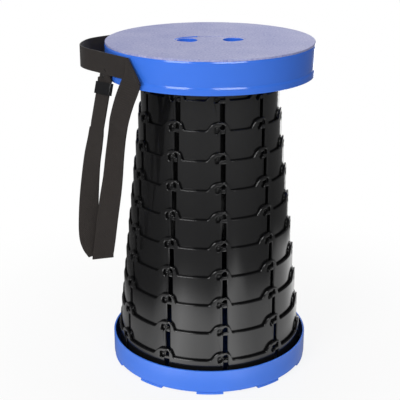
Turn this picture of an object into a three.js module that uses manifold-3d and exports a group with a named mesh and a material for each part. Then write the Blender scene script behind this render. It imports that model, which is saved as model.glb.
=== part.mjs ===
// A round telescopic stool that stands as a tapering column of eleven plastic rings
// between a round seat and a round base, and drops flat when the rings slide into each other.
// Millimetres, +Z up. The origin is the middle of the footprint on the ground, and -Y is the front.
import * as THREE from 'three';
import { mergeVertices } from 'three/addons/utils/BufferGeometryUtils.js';
import Module from 'manifold-3d';

const wasm = await Module();
wasm.setup();

// Whole object
const slot_count = 10;
const ring_count = 11;
const first_slot_azimuth = 9.4;
const slot_step_angle = 360 / slot_count;
const round_sides = 30;
const wide_sides = 42;
const running_gap = 0.3;
const overrun = 2;

// Seat
const seat_radius = 125;
const seat_top_z = 407.3;
const seat_skirt_height = 39.4;
const seat_plate = 3;
const seat_skirt_wall = 2.2;
const seat_edge_height = 4.4;
const seat_edge_round = 1.4;
const seat_wall_inset = 1.3;
const seat_lip_height = 8.2;
const seat_lip_slope = 2.2;
const seat_socket_wall = 1.8;
const seat_rib_depth = 10;
const seat_rib_width = 2;
const seat_boss_radius = 4.4;
const seat_boss_length = 9;
const finger_hole_radius = 13.4;
const finger_hole_offset = 29;
const finger_tube_wall = 1.8;
const finger_tube_depth = 14;
const finger_bridge_depth = 1.2;

// Base
const base_radius = 124.3;
const base_rim_z = 31.7;
const base_wall = 2.4;
const base_floor = 2.4;
const base_chamfer = 1.6;
const base_edge_round = 0.8;
const hub_radius = 14;
const base_rib_width = 2;
const base_rib_height = 1.6;

// Foot pads
const foot_height = 3;
const foot_half_angle = 7.6;
const foot_radial_width = 12;
const foot_inset = 0.5;
const foot_peg_radius = 2.6;
const foot_peg_inset = 4.2;

// Rings
const ring_clear_of_base = 5.1;
const last_edge_below_seat_top = 54.5;
const ring_wall = 2.4;
const ring_side_gap = 1.3;
const first_edge_above_rim = 9.7;
const hump_width = 28.6;
const hump_height = 9.6;
const hump_left_of_slot = 19.4;
const slot_width = 5.8;
const window_width = 13;
const window_height = 10.8;
const window_below_edge = 3.4;
const stud_width = 5;
const stud_height = 4.4;
const stud_drop = 1;
const stud_foot = 1.6;
const stud_recess = 0.3;
const slot_end_gap = 0.4;
const flange_width = 15.4;
const flange_thickness = 2.2;
const ring_boss_radius = 2.6;
const ring_boss_height = 10;
const ring_boss_offset = 2.2;

// Screws
const screw_count = 5;
const screw_shank_radius = 1.25;
const screw_head_radius = 2.5;
const screw_head_height = 1.7;
const seat_screw_length = 8;
const base_screw_length = 9;
const screw_hole_gap = 0.35;
const seat_screw_inset = 7;
const screw_sides = 8;

// Strap
const strap_width = 25;
const strap_thickness = 1.6;
const strap_below_seat_top = 5.3;
const strap_drop = 232;
const strap_fold_lean = 26.4;
const strap_fold_radius = 1.5;
const strap_turn_lean = -15;
const strap_turn_radius = 2.6;
const strap_slot_gap = 0.7;
const strap_slot_width = 4.4;
const strap_end_back = 7;
const strap_end_reach = 8;
const strap_hem_thickness = 5.6;
const strap_edge_steps = 16;
const strap_front_steps = 14;
const strap_rear_steps = 15;
const strap_sewn_steps = 10;
const strap_turn_steps = 4;
const slider_height = 14;
const slider_side = 1.6;
const slider_face = 1.1;
const slider_gap = 0.6;
const slider_place_share = 0.83;

// The strap's route. The run on edge goes round the left of the seat, from the skirt's slot at the
// rear left to the fold at the front left, as [azimuth, share of the seat's radius]
const edge_route_shares = [[-132.4, 1.0135], [-124, 1.034], [-114.6, 1.094], [-108.5, 1.155], [-103.4, 1.201],
  [-97.2, 1.222], [-91.9, 1.229], [-86.7, 1.226], [-81.8, 1.198], [-77.4, 1.158], [-69.7, 1.085],
  [-61.6, 1.042], [-53.1, 1.0135], [-47.7, 1.0125]];
// The hanging runs, as [azimuth, share of the seat's radius, share of the drop, heading across,
// tilt across]: down at the front, up at the rear, straight through the slider, then to the seam
const front_run_shares = [[-43.6, 1.03, -0.035, -40, -37], [-45.2, 1.041, 0.022, -38, -27],
  [-48.2, 1.057, 0.108, -33, -17], [-51.2, 1.06, 0.203, -32, -11], [-54.2, 1.046, 0.267, -34, -6],
  [-56.7, 1.054, 0.388, -30, 0], [-58.5, 1.07, 0.53, -21, 0], [-60.1, 1.09, 0.638, -8, 4],
  [-63.7, 1.093, 0.754, -8, 9], [-68.1, 1.098, 0.892, -4, 8], [-70, 1.112, 0.974, 2, 8]];
const rear_run_shares = [[-73.2, 1.16, 0.968, 4, 24], [-73.9, 1.198, 0.935, 4, 24],
  [-74.4, 1.219, 0.899, 2, 14], [-74.5, 1.226, 0.849, -3, 6], [-74.4, 1.223, 0.78, -9, 0],
  [-74, 1.216, 0.69, -19, 0], [-72, 1.203, 0.569, -29, 0], [-69.1, 1.187, 0.435, -38, 0],
  [-66.3, 1.174, 0.349, -43, 0]];
const slider_run_shares = [[-64, 1.163, 0.263, -47, 7], [-67, 1.05, 0.034, -47, 7]];
const sewn_run_shares = [[-68.4, 1.035, 0.005, -62, 4], [-70.6, 1.03, -0.012, -72, 0],
  [-72, 1.04, -0.03, -72, 0], [-72.8, 1.07, -0.048, -62, 0], [-72.5, 1.1, -0.066, -49, 0],
  [-72.3, 1.103, -0.086, -49, 0]];
// The strap's end, as shares of how far back it starts from the run on edge and how far in it reaches
const end_route_shares = [[0.95, 1], [0.9, 0.8], [0.82, 0.6], [0.7, 0.38], [0.52, 0.16], [0.3, 0.04], [0, 0]];
const slot_back_share = 0.7;

// Sizes that follow from the ones above
const ring_pitch = ring_wall + ring_side_gap;
const first_edge_z = base_rim_z + first_edge_above_rim;
const ring_step = (seat_top_z - last_edge_below_seat_top - first_edge_z) / (ring_count - 2);
const ring_outer_radius = base_radius - base_wall - ring_clear_of_base;
const floor_top_z = foot_height + base_floor;
const seat_under_z = seat_top_z - seat_plate;
const lip_bottom_z = seat_top_z - seat_skirt_height;
const ring_radius = (number) => ring_outer_radius - ring_pitch * (number - 1);
const edge_z = (number) => first_edge_z + ring_step * (number - 1);
const stud_z = (number) => edge_z(number - 1) - stud_drop;
const ring_bottom_z = (number) =>
  number === 1 ? floor_top_z + running_gap : stud_z(number) - stud_height / 2 - stud_foot;
const slot_azimuth = (index) => first_slot_azimuth + slot_step_angle * index;
const last_ring = ring_count;
const flange_inner_radius = ring_radius(last_ring) - ring_wall - flange_width;
const seat_screw_circle = flange_inner_radius + seat_screw_inset;
const finger_tube_radius = finger_hole_radius + finger_tube_wall;
const seat_ring_top_z = seat_under_z - running_gap;
const boss_bottom_z = seat_under_z - seat_boss_length;
const flange_top_z = boss_bottom_z - running_gap;
const flange_bottom_z = flange_top_z - flange_thickness;
const strap_low_z = seat_top_z - strap_below_seat_top - strap_width;
const strap_middle_z = strap_low_z + strap_width / 2;
const screw_step_angle = 360 / screw_count;
const seat_screw_azimuth = (k) => screw_step_angle * k;
const base_screw_azimuth = (k) => slot_step_angle / 2 + screw_step_angle * k;
const ring_facet_radius = ring_outer_radius * Math.cos(Math.PI / round_sides);
const base_screw_circle = ring_facet_radius + ring_boss_offset;
const foot_azimuth = (k) => slot_step_angle * k;
const foot_outer_radius = base_radius - foot_inset;
const foot_inner_radius = foot_outer_radius - foot_radial_width;
const foot_peg_circle = base_radius - base_wall - foot_peg_inset;

// Outlines as shares of the hump and the window, from the left foot and from the bottom
const hump_left_shares = [[0, 0], [0.22, 0.53], [0.42, 1]];
const hump_right_shares = [[0.76, 1], [0.93, 0.6], [1, 0]];
const left_lobe_shares = [[0.5, 0.27], [0.34, 0], [0.1, 0.08], [0, 0.4], [0.1, 0.74], [0.34, 0.82]];
const right_lobe_shares = [[0.56, 0.8], [0.72, 1], [1, 0.86]];

const radians = THREE.MathUtils.degToRad;
const up = new THREE.Vector3(0, 0, 1);

// Azimuth is measured from the front, towards +X
function at_azimuth(azimuth, radius, z) {
  const angle = radians(azimuth);
  return new THREE.Vector3(radius * Math.sin(angle), -radius * Math.cos(angle), z);
}

function signed_volume(corners, triangles) {
  const a = new THREE.Vector3();
  const b = new THREE.Vector3();
  const c = new THREE.Vector3();
  let total = 0;
  for (let i = 0; i < triangles.length; i += 3) {
    a.fromArray(corners, triangles[i] * 3);
    b.fromArray(corners, triangles[i + 1] * 3);
    c.fromArray(corners, triangles[i + 2] * 3);
    total += a.dot(b.cross(c));
  }
  return total;
}

// Turns a closed geometry into a solid that can be joined and cut
function solid(geometry) {
  const bare = geometry.clone();
  bare.deleteAttribute('normal');
  bare.deleteAttribute('uv');
  const merged = mergeVertices(bare);
  const corners = merged.attributes.position.array;
  const index = merged.index.array;
  const triangles = [];
  for (let i = 0; i < index.length; i += 3) {
    const [p, q, r] = [index[i], index[i + 1], index[i + 2]];
    if (p !== q && q !== r && r !== p) triangles.push(p, q, r);
  }
  if (signed_volume(corners, triangles) < 0) triangles.reverse();
  return new wasm.Manifold(new wasm.Mesh({
    numProp: 3,
    vertProperties: new Float32Array(corners),
    triVerts: new Uint32Array(triangles),
  }));
}

function to_geometry(body) {
  const mesh = body.getMesh();
  const geometry = new THREE.BufferGeometry();
  geometry.setAttribute('position', new THREE.BufferAttribute(new Float32Array(mesh.vertProperties), 3));
  geometry.setIndex(new THREE.BufferAttribute(new Uint32Array(mesh.triVerts), 1));
  geometry.computeVertexNormals();
  return geometry;
}

// A turned solid from a closed outline of [radius, z] points
function turned(outline, sides) {
  const points = outline.map(([radius, z]) => new THREE.Vector2(radius, z));
  points.push(points[0].clone());
  const geometry = new THREE.LatheGeometry(points, sides);
  geometry.rotateX(Math.PI / 2);
  return solid(geometry);
}

function tube(inner, outer, bottom, top, sides) {
  return turned([[inner, bottom], [outer, bottom], [outer, top], [inner, top]], sides);
}

function post(radius, bottom, top, place, sides) {
  const geometry = new THREE.CylinderGeometry(radius, radius, top - bottom, sides);
  geometry.rotateX(Math.PI / 2);
  geometry.translate(place.x, place.y, (bottom + top) / 2);
  return solid(geometry);
}

// A radial bar: a box from one radius to another at an azimuth
function radial_bar(azimuth, from, to, width, bottom, top) {
  const geometry = new THREE.BoxGeometry(width, to - from, top - bottom);
  geometry.translate(0, -(from + to) / 2, (bottom + top) / 2);
  geometry.rotateZ(radians(azimuth));
  return solid(geometry);
}

// A flat outline of [along, z] points pushed straight out at an azimuth: along is measured round a
// cylinder of the given radius, to the right as seen from outside
function pushed(outline, radius, azimuth, from, to) {
  const flat = outline.map(([along, z]) => new THREE.Vector2(radius * Math.sin(along / radius), z));
  const shape = new THREE.Shape(flat);
  const geometry = new THREE.ExtrudeGeometry(shape, { depth: to - from, bevelEnabled: false });
  geometry.rotateX(Math.PI / 2);
  geometry.translate(0, -from, 0);
  geometry.rotateZ(radians(azimuth));
  return solid(geometry);
}

function hump_point([along_share, height_share], left, edge) {
  return [left + along_share * hump_width, edge + height_share * hump_height];
}

// The space between two neighbouring humps, above the ring's top edge
function between_humps(number, index) {
  const radius = ring_radius(number);
  const edge = edge_z(number);
  const right_foot = hump_width - hump_left_of_slot;
  const next_left_foot = radians(slot_step_angle) * radius - hump_left_of_slot;
  const middle = (right_foot + next_left_foot) / 2;
  const above = edge + hump_height + overrun;
  const right = hump_right_shares.map((share) => hump_point(share, -hump_left_of_slot - middle, edge));
  const left = hump_left_shares.map((share) => hump_point(share, next_left_foot - middle, edge));
  const outline = [[right[0][0], above], ...right, ...left, [left.at(-1)[0], above]];
  const azimuth = slot_azimuth(index) + THREE.MathUtils.radToDeg(middle / radius);
  const reach = ring_pitch * 2;
  return pushed(outline, radius, azimuth, radius - ring_wall - reach, radius + reach);
}

function window_point([along_share, height_share], edge) {
  const left = slot_width / 2 - window_width;
  return [left + along_share * window_width, edge - window_below_edge + height_share * window_height];
}

// A slot takes the next ring's stud where the two numbers add up to an odd number
const takes_stud = (number, index) => (number + index) % 2 === 1;

// The two-lobed window in a hump. It runs down into a slot that takes a stud, and stops at the
// wall left across the others, level with the studs
function window_outline(number, index) {
  const edge = edge_z(number);
  const half = slot_width / 2;
  const low = takes_stud(number, index) ? ring_bottom_z(number) + stud_foot - slot_end_gap
    : stud_z(number + 1) + stud_height / 2;
  const lobes = [...left_lobe_shares, ...right_lobe_shares].map((share) => window_point(share, edge));
  return [[half, low], [-half, low], ...lobes];
}

// The blind-ended slot under the wall left across a window
function short_slot_outline(number) {
  const half = slot_width / 2;
  const high = stud_z(number + 1) - stud_height / 2;
  const low = number === 1 ? ring_bottom_z(number) + stud_foot - slot_end_gap
    : stud_z(number) + stud_height / 2 + stud_foot;
  return [[half, low], [half, high], [-half, high], [-half, low]];
}

function stud(number, azimuth, from, to) {
  const radius = ring_radius(number);
  const half = stud_width / 2;
  const low = stud_z(number) - stud_height / 2;
  const high = low + stud_height;
  return pushed([[-half, low], [half, low], [half, high], [-half, high]], radius, azimuth, from, to);
}

// A ring with its humps, windows, slots and studs
function make_ring(number) {
  const radius = ring_radius(number);
  const inner = radius - ring_wall;
  const bottom = ring_bottom_z(number);
  let body;
  if (number === last_ring) {
    body = turned([[inner, bottom], [radius, bottom], [radius, seat_ring_top_z], [inner, seat_ring_top_z],
      [inner, flange_top_z], [flange_inner_radius, flange_top_z], [flange_inner_radius, flange_bottom_z],
      [inner, flange_bottom_z]], round_sides);
    for (let k = 0; k < screw_count; k += 1) {
      const place = at_azimuth(seat_screw_azimuth(k), seat_screw_circle, 0);
      const hole_radius = screw_shank_radius + screw_hole_gap;
      body = body.subtract(post(hole_radius, flange_bottom_z - overrun, flange_top_z + overrun, place,
        screw_sides));
    }
    for (const side of [-1, 1]) {
      const place = new THREE.Vector3(side * finger_hole_offset, 0, 0);
      body = body.subtract(post(finger_tube_radius + running_gap, flange_bottom_z - overrun,
        flange_top_z + overrun, place, round_sides));
    }
  } else {
    body = tube(inner, radius, bottom, edge_z(number) + hump_height, round_sides);
    for (let index = 0; index < slot_count; index += 1) {
      const openings = [window_outline(number, index)];
      if (!takes_stud(number, index)) openings.push(short_slot_outline(number));
      body = body.subtract(between_humps(number, index));
      for (const outline of openings) {
        body = body.subtract(pushed(outline, radius, slot_azimuth(index), inner - ring_pitch,
          radius + ring_pitch));
      }
    }
  }
  for (let index = 0; index < slot_count && number > 1; index += 1) {
    if (!takes_stud(number, index)) {
      const reach = ring_radius(number - 1) - stud_recess;
      body = body.add(stud(number, slot_azimuth(index), radius - ring_wall / 2, reach));
    }
  }
  if (number === 1) {
    for (let k = 0; k < screw_count; k += 1) {
      const place = at_azimuth(base_screw_azimuth(k), base_screw_circle, 0);
      const hole_radius = screw_shank_radius + screw_hole_gap;
      body = body.add(post(ring_boss_radius, bottom, bottom + ring_boss_height, place, screw_sides));
      body = body.subtract(post(hole_radius, bottom - overrun, bottom + base_screw_length, place,
        screw_sides));
    }
  }
  return body;
}

// The base: an open tray with a hub and ribs under its floor
function make_base() {
  const inner = base_radius - base_wall;
  let body = turned([[0, foot_height], [base_radius - base_chamfer, foot_height],
    [base_radius, foot_height + base_chamfer], [base_radius, base_rim_z - base_edge_round],
    [base_radius - base_edge_round, base_rim_z], [inner, base_rim_z], [inner, floor_top_z],
    [0, floor_top_z]], wide_sides);
  body = body.add(post(hub_radius, 0, floor_top_z, at_azimuth(0, 0, 0), round_sides));
  for (let k = 0; k < slot_count; k += 1) {
    const azimuth = slot_step_angle * (k + 0.5);
    const from = hub_radius - overrun;
    body = body.add(radial_bar(azimuth, from, foot_inner_radius, base_rib_width,
      foot_height - base_rib_height, floor_top_z - base_floor / 2));
    const peg = at_azimuth(foot_azimuth(k), foot_peg_circle, 0);
    body = body.subtract(post(foot_peg_radius + running_gap, foot_height - overrun, floor_top_z + overrun, peg,
      screw_sides));
  }
  for (let k = 0; k < screw_count; k += 1) {
    const place = at_azimuth(base_screw_azimuth(k), base_screw_circle, 0);
    const hole_radius = screw_shank_radius + screw_hole_gap;
    body = body.subtract(post(hole_radius, foot_height - overrun, floor_top_z + overrun, place, screw_sides));
  }
  return body;
}

// A foot pad: an arc-shaped block whose peg is pressed into the base
function make_foot(k) {
  const half = radians(foot_half_angle);
  const middle = radians(foot_azimuth(k) - 90);
  const shape = new THREE.Shape();
  shape.absarc(0, 0, foot_outer_radius, middle - half, middle + half, false);
  shape.absarc(0, 0, foot_inner_radius, middle + half, middle - half, true);
  const top = foot_height - running_gap;
  const block = new THREE.ExtrudeGeometry(shape, { depth: top, bevelEnabled: false, curveSegments: 3 });
  const peg = at_azimuth(foot_azimuth(k), foot_peg_circle, 0);
  return solid(block).add(post(foot_peg_radius, top / 2, floor_top_z, peg, screw_sides));
}

// The seat: a round plate with a skirt, a socket for the last ring, ribs, bosses and finger holes
function make_seat() {
  const wall = seat_radius - seat_wall_inset;
  const lip_top = lip_bottom_z + seat_lip_height;
  const inner = wall - seat_skirt_wall;
  const edge_low = seat_top_z - seat_edge_height;
  let body = turned([[0, seat_top_z], [seat_radius - seat_edge_round, seat_top_z],
    [seat_radius, seat_top_z - seat_edge_round], [seat_radius, edge_low], [wall, edge_low - seat_wall_inset],
    [wall, lip_top], [seat_radius, lip_top - seat_lip_slope], [seat_radius, lip_bottom_z],
    [seat_radius - seat_skirt_wall, lip_bottom_z], [inner, lip_top], [inner, seat_under_z],
    [0, seat_under_z]], wide_sides);
  const socket = ring_radius(last_ring) + running_gap;
  const rib_bottom = seat_under_z - seat_rib_depth;
  const buried = seat_under_z + seat_plate / 2;
  body = body.add(tube(socket, socket + seat_socket_wall, rib_bottom, buried, round_sides));
  for (let k = 0; k < slot_count; k += 1) {
    body = body.add(radial_bar(slot_step_angle * k, socket + seat_socket_wall / 2, inner + seat_skirt_wall / 2,
      seat_rib_width, rib_bottom, buried));
  }
  for (let k = 0; k < screw_count; k += 1) {
    const place = at_azimuth(seat_screw_azimuth(k), seat_screw_circle, 0);
    const bore_top = boss_bottom_z + seat_screw_length;
    body = body.add(post(seat_boss_radius, boss_bottom_z, buried, place, screw_sides));
    body = body.subtract(post(screw_shank_radius + screw_hole_gap, boss_bottom_z - overrun, bore_top, place,
      screw_sides));
  }
  for (const side of [-1, 1]) {
    const place = new THREE.Vector3(side * finger_hole_offset, 0, 0);
    body = body.add(post(finger_tube_radius, seat_under_z - finger_tube_depth, buried, place, round_sides));
  }
  for (const side of [-1, 1]) {
    const place = new THREE.Vector3(side * finger_hole_offset, 0, 0);
    body = body.subtract(post(finger_hole_radius, seat_under_z - finger_tube_depth - overrun,
      seat_top_z + overrun, place, round_sides));
  }
  const bridge_height = finger_bridge_depth + overrun;
  const bridge = new THREE.BoxGeometry(finger_hole_offset * 2, finger_hole_radius, bridge_height);
  bridge.translate(0, 0, seat_top_z - finger_bridge_depth + bridge_height / 2);
  body = body.subtract(solid(bridge));
  return body.subtract(strap_slot());
}

// A flat band through stations, each with its middle, its direction across and half its breadth
function band(stations, thickness) {
  const corners = [];
  const faces = [];
  stations.forEach(({ middle, across, half, normal }) => {
    [[-1, -1], [1, -1], [1, 1], [-1, 1]].forEach(([side, face]) => {
      const corner = middle.clone().addScaledVector(across, side * half);
      corners.push(...corner.addScaledVector(normal, (face * thickness) / 2).toArray());
    });
  });
  for (let i = 0; i + 1 < stations.length; i += 1) {
    for (let side = 0; side < 4; side += 1) {
      const p = i * 4 + side;
      const q = i * 4 + ((side + 1) % 4);
      faces.push(p, q, q + 4, p, q + 4, p + 4);
    }
  }
  const end = (stations.length - 1) * 4;
  faces.push(0, 2, 1, 0, 3, 2, end, end + 1, end + 2, end, end + 2, end + 3);
  const geometry = new THREE.BufferGeometry();
  geometry.setAttribute('position', new THREE.Float32BufferAttribute(corners, 3));
  geometry.setIndex(faces);
  return solid(geometry);
}

// Makes each station's direction across square to the run, and finds which way its face looks
function squared(places) {
  return places.map(({ middle, across }, i) => {
    const before = places[Math.max(i - 1, 0)].middle;
    const after = places[Math.min(i + 1, places.length - 1)].middle;
    const along = new THREE.Vector3().subVectors(after, before).normalize();
    const level = across.clone().addScaledVector(along, -across.dot(along)).normalize();
    const normal = new THREE.Vector3().crossVectors(along, level);
    return { middle, across: level, half: strap_width / 2, normal, along };
  });
}

function smooth(places, steps) {
  const middles = new THREE.CatmullRomCurve3(places.map((place) => place.middle));
  const sides = new THREE.CatmullRomCurve3(places.map((place) => place.across));
  const run = [];
  for (let i = 0; i <= steps; i += 1) {
    run.push({ middle: middles.getPoint(i / steps), across: sides.getPoint(i / steps).normalize() });
  }
  return run;
}

// A place on a hanging run. The strap's own direction across keeps its sign round the folds, so
// that it points from the right edge to the left edge here
function hanging_place([azimuth, radius_share, drop_share, heading, tilt]) {
  const level = -Math.cos(radians(tilt));
  const across = new THREE.Vector3(level * Math.cos(radians(heading)), level * Math.sin(radians(heading)),
    -Math.sin(radians(tilt)));
  const z = strap_low_z - drop_share * strap_drop;
  return { middle: at_azimuth(azimuth, radius_share * seat_radius, z), across };
}

// A half turn of the strap about an axis across it, from one face to the other
function half_turn(start, axis, half, radius, steps) {
  const onward = new THREE.Vector3().crossVectors(axis, start.normal).normalize();
  const turn = [];
  for (let i = 0; i <= steps; i += 1) {
    const angle = Math.PI * (i / steps);
    const middle = start.middle.clone().addScaledVector(onward, Math.sin(angle) * radius)
      .addScaledVector(start.normal, (1 - Math.cos(angle)) * radius);
    const normal = start.normal.clone().multiplyScalar(Math.cos(angle))
      .addScaledVector(onward, -Math.sin(angle));
    turn.push({ middle, across: axis, half, normal });
  }
  return turn;
}

// The run on edge round the left of the seat
const edge_run = squared(smooth(edge_route_shares.map(([azimuth, share]) => (
  { middle: at_azimuth(azimuth, share * seat_radius, strap_middle_z), across: up })), strap_edge_steps));

// The strap folded over at the end of a run, along a crease that leans across it
function fold_over({ middle, across, along, normal }, lean_angle, radius) {
  const lean = radians(lean_angle);
  const crease = new THREE.Vector3().addScaledVector(along, -Math.sin(lean))
    .addScaledVector(across, Math.cos(lean));
  const half = strap_width / 2 / Math.cos(lean);
  const ahead = half * Math.abs(Math.sin(lean)) + strap_thickness / 2;
  const start = { middle: middle.clone().addScaledVector(along, ahead), normal };
  return half_turn(start, crease, half, radius, strap_turn_steps);
}

// The straight stretch of the rear run, which the slider moves along
function slider_stretch() {
  const [low, high] = slider_run_shares.map(hanging_place);
  const along = new THREE.Vector3().subVectors(high.middle, low.middle).normalize();
  const across = low.across.clone().addScaledVector(along, -low.across.dot(along)).normalize();
  const normal = new THREE.Vector3().crossVectors(along, across);
  return [low, high].map(({ middle }) => ({ middle, across, half: strap_width / 2, normal, along }));
}

// The webbing: on edge round the seat, folded, down the front run, round its bottom turn, up the
// rear run, and sewn to its own inner face
function make_webbing() {
  const stretch = slider_stretch();
  const front_run = squared(smooth(front_run_shares.map(hanging_place), strap_front_steps));
  const front_fold = fold_over(edge_run.at(-1), strap_fold_lean, strap_fold_radius);
  const bottom_turn = fold_over(front_run.at(-1), strap_turn_lean, strap_turn_radius);
  const rear_run = squared(smooth([...rear_run_shares.map(hanging_place), stretch[0]], strap_rear_steps));
  const sewn_run = squared(smooth([stretch[1], ...sewn_run_shares.map(hanging_place)], strap_sewn_steps));
  const stations = [...edge_run, ...front_fold, ...front_run, ...bottom_turn, ...rear_run.slice(0, -1),
    ...stretch, ...sewn_run.slice(1)];
  const half_way = Math.floor(stations.length / 2);
  const first_half = band(stations.slice(0, half_way + 1), strap_thickness);
  return first_half.add(band(stations.slice(half_way), strap_thickness));
}

// The strap's own end: a hem inside the skirt, and the webbing through the skirt's slot, which
// stops just short of the run on edge
function make_strap_end() {
  const { middle, along, normal } = edge_run[0];
  const places = end_route_shares.map(([back_share, in_share]) => ({
    middle: middle.clone().addScaledVector(along, -back_share * strap_end_back)
      .addScaledVector(normal, -in_share * strap_end_reach).addScaledVector(along, -running_gap),
    across: up,
  }));
  const tail = squared(places);
  const hem = tail.slice(0, 2);
  return band(tail, strap_thickness).add(band(hem, strap_hem_thickness));
}

function strap_slot() {
  const angle = (strap_end_back * slot_back_share) / seat_radius;
  const azimuth = edge_route_shares[0][0] - THREE.MathUtils.radToDeg(angle);
  return radial_bar(azimuth, seat_radius - seat_wall_inset - seat_skirt_wall - overrun, seat_radius + overrun,
    strap_slot_width, strap_low_z - strap_slot_gap, strap_low_z + strap_width + strap_slot_gap);
}

// The slider: a flat loop round the straight stretch of the rear run
function make_slider() {
  const [low, high] = slider_stretch();
  const place = new THREE.Matrix4().makeBasis(low.across, low.normal, low.along);
  place.setPosition(new THREE.Vector3().lerpVectors(low.middle, high.middle, slider_place_share));
  const hole_width = strap_width + slider_gap * 2;
  const hole_depth = strap_thickness + slider_gap * 2;
  const outside_width = hole_width + slider_side * 2;
  const outside = new THREE.BoxGeometry(outside_width, hole_depth + slider_face * 2, slider_height);
  const hole = new THREE.BoxGeometry(hole_width, hole_depth, slider_height + overrun);
  return solid(outside.applyMatrix4(place)).subtract(solid(hole.applyMatrix4(place)));
}

// A screw driven up from below, its head under what it holds
function make_screw(place, head_top, length) {
  const head = post(screw_head_radius, head_top - screw_head_height, head_top, place, screw_sides);
  const shank_bottom = head_top - screw_head_height / 2;
  return head.add(post(screw_shank_radius, shank_bottom, head_top + length, place, screw_sides));
}

const plastic_blue = new THREE.MeshStandardMaterial({ color: 0x4684f0, roughness: 0.25, metalness: 0 });
const plastic_black = new THREE.MeshStandardMaterial({ color: 0x151517, roughness: 0.3, metalness: 0 });
const rubber_blue = new THREE.MeshStandardMaterial({ color: 0x4a7fdc, roughness: 0.6, metalness: 0 });
const webbing_black = new THREE.MeshStandardMaterial({ color: 0x383232, roughness: 0.9, metalness: 0 });
const slider_black = new THREE.MeshStandardMaterial({ color: 0x1b1b1d, roughness: 0.4, metalness: 0 });
const steel = new THREE.MeshStandardMaterial({ color: 0xb4b7bb, roughness: 0.35, metalness: 0.9 });

const stool = new THREE.Group();

function add_piece(name, body, material) {
  const mesh = new THREE.Mesh(to_geometry(body), material);
  mesh.name = name;
  stool.add(mesh);
}

add_piece('base', make_base(), plastic_blue);
for (let number = 1; number <= ring_count; number += 1) {
  add_piece(`ring_${String(number).padStart(2, '0')}`, make_ring(number), plastic_black);
}
add_piece('seat_cover', make_seat(), plastic_blue);
for (let k = 0; k < slot_count; k += 1) {
  add_piece(`foot_pad_${String(k + 1).padStart(2, '0')}`, make_foot(k), rubber_blue);
}
for (let k = 0; k < screw_count; k += 1) {
  const seat_place = at_azimuth(seat_screw_azimuth(k), seat_screw_circle, 0);
  const base_place = at_azimuth(base_screw_azimuth(k), base_screw_circle, 0);
  const seat_screw = make_screw(seat_place, flange_bottom_z - running_gap, seat_screw_length);
  const base_screw = make_screw(base_place, foot_height - running_gap, base_screw_length);
  add_piece(`seat_screw_${k + 1}`, seat_screw, steel);
  add_piece(`base_screw_${k + 1}`, base_screw, steel);
}
add_piece('strap_webbing', make_webbing(), webbing_black);
add_piece('strap_slider', make_slider(), slider_black);
add_piece('strap_end', make_strap_end(), webbing_black);

export default stool;
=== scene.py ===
"""Looks for a round collapsible stool: a column of black plastic rings between a blue seat and a
blue base, with a black webbing carry strap. Metres, +Z up, -Y towards the viewer."""
import math

import bmesh
import bpy
from mathutils import Matrix, Vector


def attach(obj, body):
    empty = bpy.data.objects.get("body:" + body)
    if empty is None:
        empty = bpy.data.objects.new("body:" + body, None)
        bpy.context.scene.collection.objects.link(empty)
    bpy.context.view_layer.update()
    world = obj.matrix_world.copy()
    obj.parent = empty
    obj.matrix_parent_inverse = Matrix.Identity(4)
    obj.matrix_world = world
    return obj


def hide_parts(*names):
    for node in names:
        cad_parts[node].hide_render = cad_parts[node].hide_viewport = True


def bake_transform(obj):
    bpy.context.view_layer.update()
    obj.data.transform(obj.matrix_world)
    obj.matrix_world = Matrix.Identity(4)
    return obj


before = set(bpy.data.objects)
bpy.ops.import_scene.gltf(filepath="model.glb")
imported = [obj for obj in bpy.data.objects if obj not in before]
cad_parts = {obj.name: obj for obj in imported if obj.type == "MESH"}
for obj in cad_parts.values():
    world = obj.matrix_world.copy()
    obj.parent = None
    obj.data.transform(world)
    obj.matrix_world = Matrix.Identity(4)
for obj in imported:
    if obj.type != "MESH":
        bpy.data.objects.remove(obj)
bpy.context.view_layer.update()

# The view. A long lens looks down a little from in front of the stool, which stands on a plain
# white floor in soft light from the front left.
mm = 0.001
scene = bpy.context.scene
scene.view_settings.view_transform = "Standard"
photo_sensor = 36
photo_focal_length = 86.72
photo_place = (-11.94 * mm, -1138.1 * mm, 611.4 * mm)
photo_degrees_down = 19.65

photo_lens = bpy.data.cameras.new("photo_camera")
photo_lens.sensor_width = photo_sensor
photo_lens.lens = photo_focal_length
photo_camera = bpy.data.objects.new("photo_camera", photo_lens)
photo_camera.location = photo_place
photo_camera.rotation_euler = (math.radians(90 - photo_degrees_down), 0, 0)
scene.collection.objects.link(photo_camera)
scene.camera = photo_camera


class Value:
    """A node's output that can be used in a sum: each operator adds its own Math node."""

    def __init__(self, tree, socket):
        self.tree = tree
        self.socket = socket

    def join(self, other, operation, turned=False):
        node = self.tree.nodes.new("ShaderNodeMath")
        node.operation = operation
        for entry, value in zip(node.inputs, (other, self) if turned else (self, other)):
            if isinstance(value, Value):
                self.tree.links.new(value.socket, entry)
            else:
                entry.default_value = value
        return Value(self.tree, node.outputs[0])

    def __add__(self, other):
        return self.join(other, "ADD")

    __radd__ = __add__

    def __sub__(self, other):
        return self.join(other, "SUBTRACT")

    def __rsub__(self, other):
        return self.join(other, "SUBTRACT", True)

    def __mul__(self, other):
        return self.join(other, "MULTIPLY")

    __rmul__ = __mul__

    def __truediv__(self, other):
        return self.join(other, "DIVIDE")


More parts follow.
